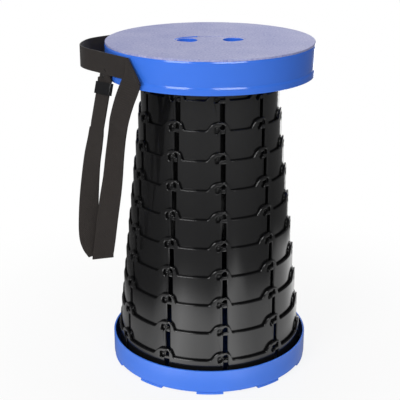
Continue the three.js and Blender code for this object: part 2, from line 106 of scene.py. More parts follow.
class Finish:
    """A material made of nodes, ending in one surface."""

    def __init__(self, name, tree=None):
        if tree is None:
            self.material = bpy.data.materials.new(name)
            self.material.use_nodes = True
            tree = self.material.node_tree
        self.tree = tree
        tree.nodes.clear()

    def feed(self, entry, value):
        if isinstance(value, Value):
            self.tree.links.new(value.socket, entry)
        else:
            entry.default_value = value

    def add(self, kind, settings=None, sockets=None, output=0, stops=None):
        node = self.tree.nodes.new("ShaderNode" + kind)
        for key, value in (settings or {}).items():
            setattr(node, key, value)
        if stops:
            ramp = node.color_ramp
            while len(ramp.elements) < len(stops):
                ramp.elements.new(1)
            for element, (place, colour) in zip(ramp.elements, stops):
                element.position = place
                element.color = (*colour, 1)
        for key, value in (sockets or {}).items():
            self.feed(node.inputs[key], value)
        return Value(self.tree, node.outputs[output])

    def ease(self, value, span, ends=(0, 1), kind="SMOOTHSTEP"):
        """Leads from one end to the other while the value crosses the span."""
        return self.add("MapRange", {"interpolation_type": kind}, {
            "Value": value, "From Min": span[0], "From Max": span[1], "To Min": ends[0], "To Max": ends[1]})

    def split(self, kind, value):
        """The three parts of a place (kind XYZ) or of a colour (kind Color)."""
        first = self.add("Separate" + kind, None, {0: value})
        return [Value(self.tree, socket) for socket in first.socket.node.outputs]

    def noise(self, place, scale, detail, **more):
        return self.add("TexNoise", None, {"Vector": place, "Scale": scale, "Detail": detail, **more})

    def tint(self, share, first, second):
        """A colour between two, where a share of 0 gives the first."""
        return self.add("Mix", {"data_type": "RGBA"}, {0: share, 6: first, 7: second}, output=2)

    def close(self, surface, kind="OutputMaterial"):
        node = self.tree.nodes.new("ShaderNode" + kind)
        self.tree.links.new(surface.socket, node.inputs["Surface"])


# The floor is seen as white and keeps a faint shadow. Glossy plastic sees it glow as the table
# says: (direction from -Y in degrees, glow near the stool, its reach in metres, glow beyond).
# It throws less light up at the right, where x is large.
floor_size = 30
near_white, white_span = 0.86, (0.15, 0.55)
floor_grey = 0.9
full_glow = 3.2
full_reach = 6
reach_fade = 0.12
foot_shade, foot_span = 0.22, (0.145, 0.19)
open_gain, open_span = 1.6, (0.7, 1.1)
bounce, bounce_span = (0.9, 0.4), (0.05, 0.26)
glow_round = ((-180, 0.1, 0.3, 0.1), (-100, 0.4, 0.26, 0.07), (-66, 0.8, 0.28, 0.16),
              (-53, 1.1, 0.36, 0.3), (-31, 3, 0.37, 0.32), (-14, 2, 0.35, 0.3),
              (2, 1.6, 0.33, 0.3), (20, 2.6, 0.39, 0.33),
              (33, 1.5, 0.48, 0.32), (45, 1, 0.37, 0.3), (75, 0.9, 0.35, 0.2), (100, 0.8, 0.5, 0.14),
              (125, 1.2, 0.45, 0.12), (149, 0.9, 0.45, 0.14), (154, 3.2, 6, 0.2), (175, 3.2, 6, 0.2),
              (180, 0.1, 0.3, 0.1))

white_floor = Finish("white_floor")
floor_rays = white_floor.add("LightPath", output="Is Camera Ray")
floor_place = white_floor.add("TexCoord", output="Object")
floor_distance = white_floor.add("VectorMath", {"operation": "LENGTH"}, {0: floor_place}, output="Value")
floor_x, floor_y, _ = white_floor.split("XYZ", floor_place)
floor_turn = floor_x.join(floor_y * -1, "ARCTAN2") / math.tau + 0.5
floor_ramp = white_floor.add("ValToRGB", None, {"Fac": floor_turn}, stops=[
    (direction / 360 + 0.5, (glow / full_glow, reach / full_reach, far))
    for direction, glow, reach, far in glow_round])
glow_share, reach_share, far_glow = white_floor.split("Color", floor_ramp)
beyond_reach = floor_distance - reach_share * full_reach
within = white_floor.ease(beyond_reach, (-reach_fade / 2, reach_fade / 2), (1, 0))
clear_of_base = white_floor.ease(floor_distance, foot_span, (foot_shade, 1))
open_floor = white_floor.ease(floor_distance, open_span, (1, open_gain), "LINEAR")
floor_glow = far_glow * open_floor + glow_share * full_glow * within * clear_of_base
floor_white = white_floor.ease(floor_distance, white_span, (near_white, 1))
floor_seen = white_floor.add("Emission", None, {"Color": (1, 1, 1, 1), "Strength": 1})
floor_lit = white_floor.add("BsdfDiffuse", None, {"Color": (floor_grey, floor_grey, floor_grey, 1)})
floor_shown = white_floor.add("MixShader", None, {0: floor_white, 1: floor_lit, 2: floor_seen})
floor_bounce = white_floor.ease(floor_x, bounce_span, bounce)
floor_soft = white_floor.add("BsdfDiffuse", None, {"Color": floor_bounce})
floor_mirrored = white_floor.add("Emission", None, {"Color": (1, 1, 1, 1), "Strength": floor_glow})
glossy_rays = white_floor.add("LightPath", output="Is Glossy Ray")
floor_for_light = white_floor.add("MixShader", None, {0: glossy_rays, 1: floor_soft, 2: floor_mirrored})
white_floor.close(white_floor.add("MixShader", None, {0: floor_rays, 1: floor_for_light, 2: floor_shown}))

floor_mesh = bpy.data.meshes.new("floor")
floor_form = bmesh.new()
bmesh.ops.create_grid(floor_form, x_segments=1, y_segments=1, size=floor_size / 2)
floor_form.to_mesh(floor_mesh)
floor_form.free()
floor_mesh.materials.append(white_floor.material)
floor = bpy.data.objects.new("floor", floor_mesh)
scene.collection.objects.link(floor)

# The air is even light that grows weak towards the right. Glossy plastic sees it darker, apart
# from a bright patch at the back, right of the middle. The camera sees plain white.
air_level = 0.44
mirror_dip = 0.3
back_glow, back_span, right_span = 1.9, (0.82, 0.95), (-0.05, 0.1)
right_shade, shade_span = 0.34, (0.25, 0.85)
studio_air = bpy.data.worlds.new("studio_air")
studio_air.use_nodes = True
scene.world = studio_air
air = Finish("studio_air", studio_air.node_tree)
air_camera = air.add("LightPath", output="Is Camera Ray")
air_glossy = air.add("LightPath", output="Is Glossy Ray")
air_x, air_y, _ = air.split("XYZ", air.add("TexCoord", output="Generated"))
air_back = air.ease(air_y, back_span, (0, back_glow))
air_mirrored = air_back * air.ease(air_x, right_span) - mirror_dip
air_shade = air.ease(air_x, shade_span, (0, right_shade))
air_plain = air_level - (1 - air_glossy) * air_shade + air_glossy * air_mirrored
air_light = air_plain * (1 - air_camera) + air_camera
air.close(air.add("Background", None, {"Color": (1, 1, 1, 1), "Strength": air_light}), "OutputWorld")


def add_lamp(name, place, target, size, power):
    lamp = bpy.data.lights.new(name, "AREA")
    lamp.shape = "RECTANGLE"
    lamp.size, lamp.size_y = size
    lamp.energy = power
    holder = bpy.data.objects.new(name, lamp)
    holder.location = place
    holder.rotation_euler = (Vector(target) - Vector(place)).to_track_quat("-Z", "Y").to_euler()
    scene.collection.objects.link(holder)


stool_middle = (0, 0, 0.22)
seat_back = (0, 0.05, 0.4)
add_lamp("front_left_box", (-1.09, -1.55, 1.2), stool_middle, (0.86, 0.9), 18)
add_lamp("front_right_strip", (0.68, -1.79, 1.25), stool_middle, (1.2, 0.3), 11)
add_lamp("top_box", (0.1, 0.3, 1.9), stool_middle, (1.2, 0.8), 1.6)
add_lamp("back_box", (0.1, 0.6, 0.9), seat_back, (1.1, 0.3), 2.2)


# The base: a shallow tray moulded in glossy blue plastic, with a plain rolled rim, a chamfered
# foot, a hub in the middle and ribs under its floor.
def paint(red, green, blue):
    """A colour given as it is seen on a screen, from 0 to 255, as linear light."""
    shares = [value / 255 for value in (red, green, blue)]
    return tuple(s / 12.92 if s <= 0.04045 else ((s + 0.055) / 1.055) ** 2.4 for s in shares)


def object_place(finish, scale=(1, 1, 1)):
    place = finish.add("TexCoord", output="Object")
    return finish.add("Mapping", None, {"Vector": place, "Scale": scale})


# Painted shade inside the base's tray: there the blue is darkened to a small share of itself, as light
# hardly reaches it.
painted_shade_tone = 0.19
base_painted_shade_well = (122.2 * mm, 3.5 * mm, 31.2 * mm)
streak_stretch = (1, 1, 0.16)
scuff_span = (0.63, 0.78)
lightest_lift = 0.0015


def moulded(name, colour, gloss, specular, grain_scale=1400, grain=0.05, drift=0.06, painted_shade_well=None):
    """Moulded plastic: a faint drift of colour, uneven gloss, light scuffs and a fine skin. A well
    is a (radius, bottom, top) inside which the colour is darkened to a painted shade, as light
    hardly reaches it."""
    finish = Finish(name)
    place = object_place(finish)
    cloud = finish.noise(place, 14, 3)
    skin = finish.noise(place, grain_scale, 2)
    scuff = finish.noise(object_place(finish, streak_stretch), 210, 5, Roughness=0.7)
    scuffed = finish.ease(scuff, scuff_span, kind="LINEAR")
    dark = tuple(c * (1 - drift) for c in colour)
    light = tuple(min(c * (1 + drift) + lightest_lift, 1) for c in colour)
    shade = finish.tint(cloud, (*dark, 1), (*light, 1))
    # Painted shade: inside the well the colour is darkened, where light hardly reaches.
    if painted_shade_well:
        radius, bottom, top = painted_shade_well
        flat = finish.add("VectorMath", {"operation": "MULTIPLY"}, {0: place, 1: (1, 1, 0)})
        away = finish.add("VectorMath", {"operation": "LENGTH"}, {0: flat}, output="Value")
        height = finish.split("XYZ", place)[2]
        inside = (away.join(radius, "LESS_THAN") * height.join(bottom, "GREATER_THAN")
                  * height.join(top, "LESS_THAN"))
        shade = finish.tint(inside, shade, (*(c * painted_shade_tone for c in colour), 1))
    bump = finish.add("Bump", None, {
        "Height": skin + scuffed * 0.3, "Strength": grain, "Distance": 0.2 * mm})
    surface = finish.add("BsdfPrincipled", None, {
        "Base Color": shade, "Roughness": gloss + cloud * 0.05 + scuffed * 0.1, "Normal": bump,
        "Specular IOR Level": specular})
    finish.close(surface)
    return finish.material


blue_plastic = moulded("blue_plastic", paint(58, 118, 232), 0.12, 0.5)
# The base's plastic carries painted shade inside its tray.
base_plastic = moulded("base_plastic", paint(70, 130, 243), 0.2, 0.5, painted_shade_well=base_painted_shade_well)
base_radius = 124.3 * mm
base_rim_z = 31.7 * mm
base_wall = 2.4 * mm
base_floor_z = 5.4 * mm
base_under_z = 3 * mm
base_hub_radius = 14 * mm
base_rib_size = (2 * mm, 98 * mm, 2.6 * mm)
base_rib_place = (0, -61.5 * mm, 2.6 * mm)
base_steps = 160
hub_steps = 64
humps = 10
screws = 5
pitch = math.radians(360 / humps)
weld = 0.001 * mm


def on_circle(radius, angle):
    """A place in plan, at an angle from -Y that grows towards +X."""
    return radius * math.sin(angle), -radius * math.cos(angle)


def turn(form, angle, points):
    bmesh.ops.rotate(form, cent=(0, 0, 0), matrix=Matrix.Rotation(angle, 3, "Z"), verts=points)


def soften(form, edges, width, segments):
    """Rounds the edges off and returns the new points."""
    return bmesh.ops.bevel(form, geom=edges, offset=width, offset_type="OFFSET", segments=segments,
                           profile=0.5, affect="EDGES", material=-1, clamp_overlap=True)["verts"]


def trace(form, outline):
    """Adds a closed outline of (x, z) points as edges in the XZ plane."""
    points = [form.verts.new((x, 0, z)) for x, z in outline]
    for pair in zip(points, points[1:] + points[:1]):
        form.edges.new(pair)


def points_among(items):
    return [item for item in items if isinstance(item, bmesh.types.BMVert)]


def turned(form, outline, steps):
    """Adds a turned body from a closed outline of (radius, z) points."""
    points = [form.verts.new((radius, 0, z)) for radius, z in outline]
    pairs = list(zip(points, points[1:] + points[:1]))
    edges = [form.edges.new(pair) for pair in pairs if pair[0].co.x > 0 or pair[1].co.x > 0]
    bmesh.ops.spin(form, geom=points + edges, cent=(0, 0, 0), axis=(0, 0, 1), angle=math.tau,
                   steps=steps, use_merge=True, dvec=(0, 0, 0))
    bmesh.ops.remove_doubles(form, verts=form.verts[:], dist=weld)


def box_at(form, size, place, azimuth=0.0, round_by=0.0):
    """Adds a box of (across, outwards, high), pushed out along -Y and turned to an azimuth."""
    made = bmesh.ops.create_cube(form, size=1)["verts"]
    bmesh.ops.scale(form, vec=size, verts=made)
    bmesh.ops.translate(form, vec=place, verts=made)
    if round_by:
        edges = list({edge for vert in made for edge in vert.link_edges})
        fresh = soften(form, edges, round_by, 3)
        made = list(set(fresh) | {vert for vert in made if vert.is_valid})
    turn(form, azimuth, made)


def drum_at(form, radius, bottom, top, place, sides):
    """Adds an upright drum at a place in plan."""
    made = bmesh.ops.create_cone(form, cap_ends=True, segments=sides, radius1=radius, radius2=radius,
                                 depth=top - bottom)["verts"]
    bmesh.ops.translate(form, vec=(*place, (bottom + top) / 2), verts=made)


def set_down(form, name, materials, sharp=35):
    """Turns a finished form into an object whose faces point outwards and shade smoothly."""
    bmesh.ops.recalc_face_normals(form, faces=form.faces[:])
    for face in form.faces:
        face.smooth = True
    for edge in form.edges:
        if len(edge.link_faces) == 2 and edge.calc_face_angle(0) > math.radians(sharp):
            edge.smooth = False
    mesh = bpy.data.meshes.new(name)
    form.to_mesh(mesh)
    form.free()
    for material in materials:
        mesh.materials.append(material)
    made = bpy.data.objects.new(name, mesh)
    scene.collection.objects.link(made)
    return made


def even_shading(piece):
    """Lets the broad faces set the shading, so narrow rounded edges don't bend it."""
    even = piece.modifiers.new("even_shading", "WEIGHTED_NORMAL")
    even.weight = 50
    even.keep_sharp = True
    return piece


def carry(piece, body, slot, *nodes):
    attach(piece, body)
    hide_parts(*nodes)


tray = bmesh.new()
turned(tray, [(0, base_under_z), (base_radius - 1.6 * mm, base_under_z),
              (base_radius - 0.5 * mm, base_under_z + 0.45 * mm), (base_radius, base_under_z + 1.6 * mm),
              (base_radius, base_rim_z - 0.9 * mm), (base_radius - 0.25 * mm, base_rim_z - 0.3 * mm),
              (base_radius - 0.8 * mm, base_rim_z), (base_radius - base_wall + 0.6 * mm, base_rim_z),
              (base_radius - base_wall, base_rim_z - 0.6 * mm),
              (base_radius - base_wall, base_floor_z + 1.5 * mm),
              (base_radius - base_wall - 1.5 * mm, base_floor_z), (0, base_floor_z)], base_steps)
turned(tray, [(0, 0), (base_hub_radius - 0.6 * mm, 0), (base_hub_radius, 0.6 * mm),
              (base_hub_radius, base_under_z + 0.5 * mm), (0, base_under_z + 0.5 * mm)], hub_steps)
for count in range(humps):
    box_at(tray, base_rib_size, base_rib_place, (count + 0.5) * pitch)
base_tray = even_shading(set_down(tray, "base_tray", [base_plastic]))
carry(base_tray, "base", "plastic_blue", "base")


# The foot pads: ten arc-shaped rubber pads, each with a peg pressed up into the base.
pad_rubber = moulded("pad_rubber", paint(74, 133, 241), 0.45, 0.4, 900, 0.2)
pad_outer = 123.8 * mm
pad_inner = 111.8 * mm
pad_height = 2.7 * mm
pad_half_angle = math.radians(7.6)
pad_peg_circle = 117.7 * mm
pad_peg_radius = 2.6 * mm
pad_peg_bottom = 1.2 * mm
pad_round = 0.5 * mm
pad_corner_angle = 0.7
pad_steps = 14
peg_sides = 24
for count in range(humps):
    pad = bmesh.new()
    corners = [pad.verts.new((0, -radius, z)) for radius, z in
               ((pad_inner, 0), (pad_outer, 0), (pad_outer, pad_height), (pad_inner, pad_height))]
    section = pad.faces.new(corners)
    turn(pad, count * pitch - pad_half_angle, corners)
    bmesh.ops.spin(pad, geom=[section], cent=(0, 0, 0), axis=(0, 0, 1), angle=2 * pad_half_angle,
                   steps=pad_steps, dvec=(0, 0, 0))
    bmesh.ops.recalc_face_normals(pad, faces=pad.faces[:])
    rims = [edge for edge in pad.edges
            if len(edge.link_faces) == 2 and edge.calc_face_angle() > pad_corner_angle]
    soften(pad, rims, pad_round, 2)
    place = on_circle(pad_peg_circle, count * pitch)
    drum_at(pad, pad_peg_radius, pad_peg_bottom, base_floor_z, place, peg_sides)
    carry(set_down(pad, f"pad_{count + 1:02d}", [pad_rubber]), "base", "rubber_blue",
          f"foot_pad_{count + 1:02d}")


# The rings: eleven thin black plastic rings that nest in each other. Each top edge has ten raised
# humps, each with a two-lobed window that runs down into a slot. Studs on the next ring stand in
# the slots, and small bosses on it show through the windows' left lobes.
black_plastic = moulded("black_plastic", paint(19, 19, 20), 0.14, 0.5, 1200, 0.03, 0.1)
ring_wall = 2.4 * mm
ring_step = 34.6 * mm
first_edge_z = 41.4 * mm
first_slot = math.radians(9.4)
slot_half = 2.9 * mm
slot_margin = 1.2 * mm
short_slot_top = -3.2 * mm
short_slot_margin = 6.2 * mm
window_top = 4.5 * mm
left_lobe = (-7, 1)
left_lobe_half = (3.2, 4.4)
first_bottom_z = 5.7 * mm
stud_drop = 1 * mm
stud_cover = 3.8 * mm
stud_size = (5 * mm, 4.4 * mm)
stud_round = 0.7 * mm
lobe_boss_half = (2.3 * mm, 1 * mm, 2.6 * mm)
screw_circle = 118.6 * mm
screw_boss_radius = 2.6 * mm
screw_boss_top = 15.7 * mm
edge_round = 0.55 * mm
bend_step = math.radians(3)
hump_points = ((-19.8, 0), (-18.6, 0.7), (-17.2, 2.2), (-15.5, 4.5), (-13.5, 6.7), (-11.2, 8.3),
               (-8.5, 9.4), (-5.5, 10), (-2, 10.1), (1.2, 9.9), (3.4, 9.2), (5.2, 8), (6.5, 6.2),
               (7.4, 4.1), (8, 2.1), (8.6, 0.7), (9.4, 0))


def ring_radius(number):
    return (116.8 - 3.7 * (number - 1)) * mm


def edge_z(number):
    return first_edge_z + ring_step * (number - 1)


def stud_z(number):
    return edge_z(number - 1) - stud_drop


def ring_bottom_z(number):
    return first_bottom_z if number == 1 else stud_z(number) - stud_cover


def takes_stud(number, index):
    return (number + index) % 2 == 1


def window(number, index, along):
    """The two-lobed window's outline. Its right lobe is the top of the slot."""
    low = slot_margin
    if takes_stud(number, index):
        low = ring_bottom_z(number) - edge_z(number) + slot_margin
    right = [(slot_half * math.cos(math.radians(a)), window_top + slot_half * math.sin(math.radians(a)))
             for a in range(0, 166, 15)]
    left = [((left_lobe[0] + left_lobe_half[0] * math.cos(math.radians(a))) * mm,
             (left_lobe[1] + left_lobe_half[1] * math.sin(math.radians(a))) * mm)
            for a in range(70, 341, 18)]
    tail = [] if low > 0 else [(-slot_half, -0.9 * mm)]
    outline = [(slot_half, low), *right, *left, (-3.3 * mm, -0.5 * mm), *tail, (-slot_half, low)]
    return [(x + along, z) for x, z in outline]


def short_slot(number, along):
    """The plain slot below a window that takes no stud."""
    low = ring_bottom_z(number) - edge_z(number) + (slot_margin if number == 1 else short_slot_margin)
    return [(along + slot_half, low), (along + slot_half, short_slot_top),
            (along - slot_half, short_slot_top), (along - slot_half, low)]


def flat_panel(outlines):
    """A flat sheet in the XZ plane with holes. Two narrow rows run round every edge, and the layer
    round_off says how far each of their points falls back to round the edge."""
    form = bmesh.new()
    for outline in outlines:
        trace(form, outline)
    bmesh.ops.triangle_fill(form, use_beauty=True, use_dissolve=False, edges=form.edges[:],
                            normal=(0, -1, 0))
    round_off = form.verts.layers.float.new("round_off")
    inside = form.faces[:]
    for fall in (1.3 * edge_round, 0.35 * edge_round):
        rows = bmesh.ops.inset_region(form, faces=inside, use_boundary=True, use_even_offset=True,
                                      thickness=edge_round, depth=0)["faces"]
        inside = [face for face in inside if face.is_valid]
        kept = {vert for face in inside for vert in face.verts}
        for vert in {vert for face in rows for vert in face.verts} - kept:
            if vert[round_off] == 0:
                vert[round_off] = fall
    return form, round_off


def ring_wall_form(number):
    """A ring's wall: one panel of two humps, bent round and repeated five times, then thickened."""
    radius = ring_radius(number)
    spare = 3 * mm
    bottom = ring_bottom_z(number) - edge_z(number)
    start, end = -pitch / 2 * radius, 1.5 * pitch * radius
    top = [(x * mm + along, z * mm) for along in (0, pitch * radius) for x, z in hump_points]
    outlines = [[(start - spare, bottom), (end + spare, bottom), (end + spare, 0), *reversed(top),
                 (start - spare, 0)]]
    for index in (0, 1):
        outlines.append(window(number, index, index * pitch * radius))
        if not takes_stud(number, index):
            outlines.append(short_slot(number, index * pitch * radius))
    form, round_off = flat_panel(outlines)
    cuts = round(2 * pitch / bend_step)
    for count in range(cuts + 1):
        whole = form.verts[:] + form.edges[:] + form.faces[:]
        bmesh.ops.bisect_plane(form, geom=whole, dist=weld, plane_no=(1, 0, 0),
                               plane_co=(start + (end - start) * count / cuts, 0, 0),
                               clear_inner=count == 0, clear_outer=count == cuts)
    for vert in form.verts:
        angle = first_slot + vert.co.x / radius
        vert.co = (*on_circle(radius - vert[round_off], angle), vert.co.z + edge_z(number))
    bmesh.ops.spin(form, geom=form.verts[:] + form.edges[:] + form.faces[:], cent=(0, 0, 0), axis=(0, 0, 1),
                   angle=8 * pitch, steps=4, use_duplicate=True, dvec=(0, 0, 0))
    bmesh.ops.remove_doubles(form, verts=form.verts[:], dist=5 * weld)
    inner = bmesh.ops.extrude_face_region(form, geom=form.faces[:], use_keep_orig=True)["geom"]
    for vert in points_among(inner):
        share = (radius - ring_wall) / math.hypot(vert.co.x, vert.co.y)
        vert.co.x *= share
        vert.co.y *= share
    return form


def round_shading(piece, radius):
    """Gives the wall's broad faces the shading of a true cylinder."""
    mesh = piece.data
    shading = [normal.vector.copy() for normal in mesh.corner_normals]
    for face in mesh.polygons:
        outwards = Vector((face.center.x, face.center.y, 0)).normalized()
        facing = face.normal.dot(outwards)
        for corner in face.loop_indices:
            place = mesh.vertices[mesh.loops[corner].vertex_index].co
            out = Vector((place.x, place.y, 0))
            if facing > 0.6 and abs(out.length - radius) < 0.01 * mm:
                shading[corner] = out.normalized()
            elif facing < -0.9:
                shading[corner] = -out.normalized()
    mesh.normals_split_custom_set(shading)
    return piece


def add_studs(form, number):
    """The studs stand in the ring below's slots, and the bosses behind its left lobes."""
    radius = ring_radius(number)
    reach = ring_radius(number - 1) - 0.3 * mm
    for index in range(humps):
        azimuth = first_slot + index * pitch
        if not takes_stud(number, index):
            middle = (reach + radius - ring_wall / 2) / 2
            size = (stud_size[0], 2 * (reach - middle), stud_size[1])
            box_at(form, size, (0, -middle, stud_z(number)), azimuth, stud_round)
        boss = bmesh.ops.create_uvsphere(form, u_segments=20, v_segments=12, radius=1)["verts"]
        bmesh.ops.scale(form, vec=lobe_boss_half, verts=boss)
        bmesh.ops.translate(form, vec=(0, -radius, edge_z(number - 1) + left_lobe[1] * mm), verts=boss)
        turn(form, azimuth + left_lobe[0] * mm / ring_radius(number - 1), boss)


for number in range(1, 11):
    ring = ring_wall_form(number)
    if number > 1:
        add_studs(ring, number)
    else:
        for count in range(screws):
            spot = on_circle(screw_circle, pitch / 2 + count * 2 * pitch)
            drum_at(ring, screw_boss_radius, first_bottom_z, screw_boss_top, spot, peg_sides)
    piece = round_shading(set_down(ring, f"column_ring_{number:02d}", [black_plastic]), ring_radius(number))
    carry(piece, f"ring_{number:02d}" if number > 1 else "base", "plastic_black", f"ring_{number:02d}")

# Ring 11 is plain and screwed into the seat, with a flange turned inwards for the screws.
seat_top_z = 407.3 * mm
seat_under_z = seat_top_z - 3 * mm
top_ring = bmesh.new()
top_radius = ring_radius(11)
flange_top = seat_under_z - 9.3 * mm
flange_under = flange_top - 2.2 * mm
flange_hole = 62 * mm
turned(top_ring, [(top_radius - ring_wall, ring_bottom_z(11)), (top_radius - 0.4 * mm, ring_bottom_z(11)),
                  (top_radius, ring_bottom_z(11) + 0.4 * mm), (top_radius, seat_under_z - 0.3 * mm),
                  (top_radius - ring_wall, seat_under_z - 0.3 * mm), (top_radius - ring_wall, flange_top),
                  (flange_hole, flange_top), (flange_hole, flange_under),
                  (top_radius - ring_wall, flange_under)], base_steps)
add_studs(top_ring, 11)
carry(set_down(top_ring, "column_ring_11", [black_plastic]), "ring_11", "plastic_black", "ring_11")


# The seat: a round blue plate with a skirt, moulded in one. Its top has a fine pale grain and two
# finger holes in a shallow oval recess. The skirt tapers a little down to a wider lip.
grained_top = Finish("grained_top")
mottle_span = (0.36, 0.64)
top_place = object_place(grained_top)
top_cells = grained_top.add("TexVoronoi", {"feature": "SMOOTH_F1"}, {"Vector": top_place, "Scale": 1100})
top_grain = grained_top.noise(top_place, 900, 4)
top_cloud = grained_top.noise(top_place, 22, 3)
top_speck = grained_top.noise(top_place, 420, 2)
top_mottle = grained_top.ease(top_speck * 0.7 + top_cloud * 0.3, mottle_span, kind="LINEAR")
top_shade = grained_top.tint(top_mottle, (*paint(137, 142, 194), 1), (*paint(178, 180, 213), 1))
top_bump = grained_top.add("Bump", None, {
    "Height": top_cells * 0.7 + top_grain * 0.6, "Strength": 0.5, "Distance": 0.25 * mm})
grained_top.close(grained_top.add("BsdfPrincipled", None, {
    "Base Color": top_shade, "Roughness": 0.5 + top_grain * 0.16, "Normal": top_bump,
    "Specular IOR Level": 0.4}))

seat_radius = 125 * mm
seat_wall = 124 * mm
seat_inner = 121.5 * mm
lip_bottom = seat_top_z - 39.4 * mm
lip_top = lip_bottom + 9 * mm
finger_offset = 27.4 * mm
finger_radius = 12 * mm
finger_turn = math.radians(4)
recess_size = (42.8 * mm, 21.5 * mm)
recess_depth = 0.9 * mm
tube_wall = 1.8 * mm
tube_bottom = seat_under_z - 14 * mm
cutter_spare = 5 * mm
seat_steps = 192
finger_sides = 64
recess_sides = 96
recess_lean = (0.97, 1.03)

# The rim and the lip as steps in millimetres: (inset from the seat's radius, drop from its top),
# and (reach out from the wall, drop from the lip's top).
rim_steps = ((1.2, 0), (0.9, -0.12), (0.72, -0.5), (0.68, -1.6), (0.65, -2.2), (0.61, -2.45),
             (0.53, -2.7), (0.12, -3.85), (0.04, -4.1), (0, -4.5))
lip_steps = ((0, 0), (0.05, -0.2), (0.14, -0.45), (0.5, -1.45), (0.66, -1.8), (0.84, -2.3), (1, -3.2))

shell = bmesh.new()
turned(shell, [(0, seat_top_z),
               *((seat_radius - inset * mm, seat_top_z + drop * mm) for inset, drop in rim_steps),
               *((seat_wall + out * mm, lip_top + drop * mm) for out, drop in lip_steps),
               (seat_radius, lip_bottom + 0.6 * mm), (seat_radius - 0.2 * mm, lip_bottom + 0.2 * mm),
               (seat_radius - 0.6 * mm, lip_bottom), (seat_radius - 2.2 * mm, lip_bottom),
               (seat_inner, lip_top), (seat_inner, seat_under_z), (0, seat_under_z)], seat_steps)
for side in (-1, 1):
    place = (side * finger_offset * math.cos(finger_turn), side * finger_offset * math.sin(finger_turn))
    drum_at(shell, finger_radius + tube_wall, tube_bottom, seat_under_z + 1.2 * mm, place, finger_sides)
seat_shell = set_down(shell, "seat_shell", [blue_plastic])

cutters = bmesh.new()
for side in (-1, 1):
    drum_at(cutters, finger_radius, tube_bottom - cutter_spare, seat_top_z + cutter_spare,
            (side * finger_offset, 0), finger_sides)
turn(cutters, finger_turn, cutters.verts[:])
finger_cutter = set_down(cutters, "finger_cutter", [])
recess = bmesh.new()
oval = bmesh.ops.create_cone(recess, cap_ends=True, segments=recess_sides, radius1=recess_lean[0],
                             radius2=recess_lean[1], depth=2)["verts"]
bmesh.ops.scale(recess, vec=(*recess_size, recess_depth), verts=oval)
bmesh.ops.translate(recess, vec=(0, 0, seat_top_z), verts=oval)
turn(recess, finger_turn, oval)
recess_cutter = set_down(recess, "recess_cutter", [])
# The strap's slot lies a little further back along the skirt than where the strap's edge run starts.
slot_back = 4.9 / 125
slot_angle = math.radians(-132.4) - slot_back
slot_size = (4.4 * mm, 8 * mm, 26.4 * mm)
slot_bottom_z, slot_half_height = 377 * mm, 12.5 * mm
slot_place = (0, -123 * mm, slot_bottom_z + slot_half_height)
slot_hole = bmesh.new()
box_at(slot_hole, slot_size, slot_place, slot_angle)
slot_cutter = set_down(slot_hole, "slot_cutter", [])
for cutter in (finger_cutter, recess_cutter, slot_cutter):
    cut = seat_shell.modifiers.new(cutter.name, "BOOLEAN")
    cut.operation = "DIFFERENCE"
    cut.solver = "EXACT"
    cut.use_self = True
    cut.object = cutter
depsgraph = bpy.context.evaluated_depsgraph_get()
cut_mesh = bpy.data.meshes.new_from_object(seat_shell.evaluated_get(depsgraph))
for spare in (seat_shell, finger_cutter, recess_cutter, slot_cutter):
    bpy.data.objects.remove(spare)

# The mouths of the holes and the recess are rounded. The grain covers the top with its outer edge
# and the recess's wall, which stays plain blue at its left end and rear left.
mouth_round = 0.9 * mm
mouth_circle = 50 * mm
mouth_depth = 2 * mm
mouth_corner_angle = 1.2
grain_depth = 1.1 * mm
rim_grain = (1.3 * mm, 2.3 * mm)
recess_wall_band = 0.12
plain_corner = (-14 * mm, -6 * mm)

seat = bmesh.new()
seat.from_mesh(cut_mesh)
bmesh.ops.recalc_face_normals(seat, faces=seat.faces[:])
mouths = [edge for edge in seat.edges
          if len(edge.link_faces) == 2 and edge.calc_face_angle(0) > mouth_corner_angle
          and all(math.hypot(vert.co.x, vert.co.y) < mouth_circle and vert.co.z > seat_top_z - mouth_depth
                  for vert in edge.verts)]
soften(seat, mouths, mouth_round, 3)
for face in seat.faces:
    middle = face.calc_center_median()
    recess_share = (middle.x / recess_size[0]) ** 2 + (middle.y / recess_size[1]) ** 2
    grained_wall = (abs(recess_share - 1) < recess_wall_band
                    and (middle.x > plain_corner[0] or middle.y < plain_corner[1]))
    grained = face.normal.z > 0.9 or (face.normal.z > 0.1 and grained_wall)
    edge_of_disc = middle.xy.length > seat_radius - rim_grain[0] and middle.z > seat_top_z - rim_grain[1]
    if edge_of_disc or (grained and middle.z > seat_top_z - grain_depth):
        face.material_index = 1

# Under the plate: the socket that holds ring 11, ten ribs out to the skirt and five screw bosses.
# Each runs a little into the plate.
socket_radius = top_radius + 0.3 * mm
socket_outside = socket_radius + 1.8 * mm
socket_bottom = seat_under_z - 10 * mm
into_plate = seat_under_z + 1 * mm
rib_reach = (socket_radius + 1 * mm, seat_inner + 1 * mm)
rib_size = (2 * mm, rib_reach[1] - rib_reach[0], 11 * mm)
rib_place = (0, -sum(rib_reach) / 2, seat_under_z - 4.5 * mm)
seat_boss_circle = 69 * mm
seat_boss_radius = 4.4 * mm
seat_boss_bottom = seat_under_z - 9 * mm
seat_boss_sides = 32
turned(seat, [(socket_radius, socket_bottom), (socket_outside, socket_bottom),
              (socket_outside, into_plate), (socket_radius, into_plate)], base_steps)
for count in range(humps):
    box_at(seat, rib_size, rib_place, count * pitch)
for count in range(screws):
    spot = on_circle(seat_boss_circle, 2 * pitch * count)
    drum_at(seat, seat_boss_radius, seat_boss_bottom, into_plate, spot, seat_boss_sides)
seat_piece = even_shading(set_down(seat, "seat_top_and_skirt", [blue_plastic, grained_top.material], 30))
carry(seat_piece, "ring_11", "plastic_blue", "seat_cover")


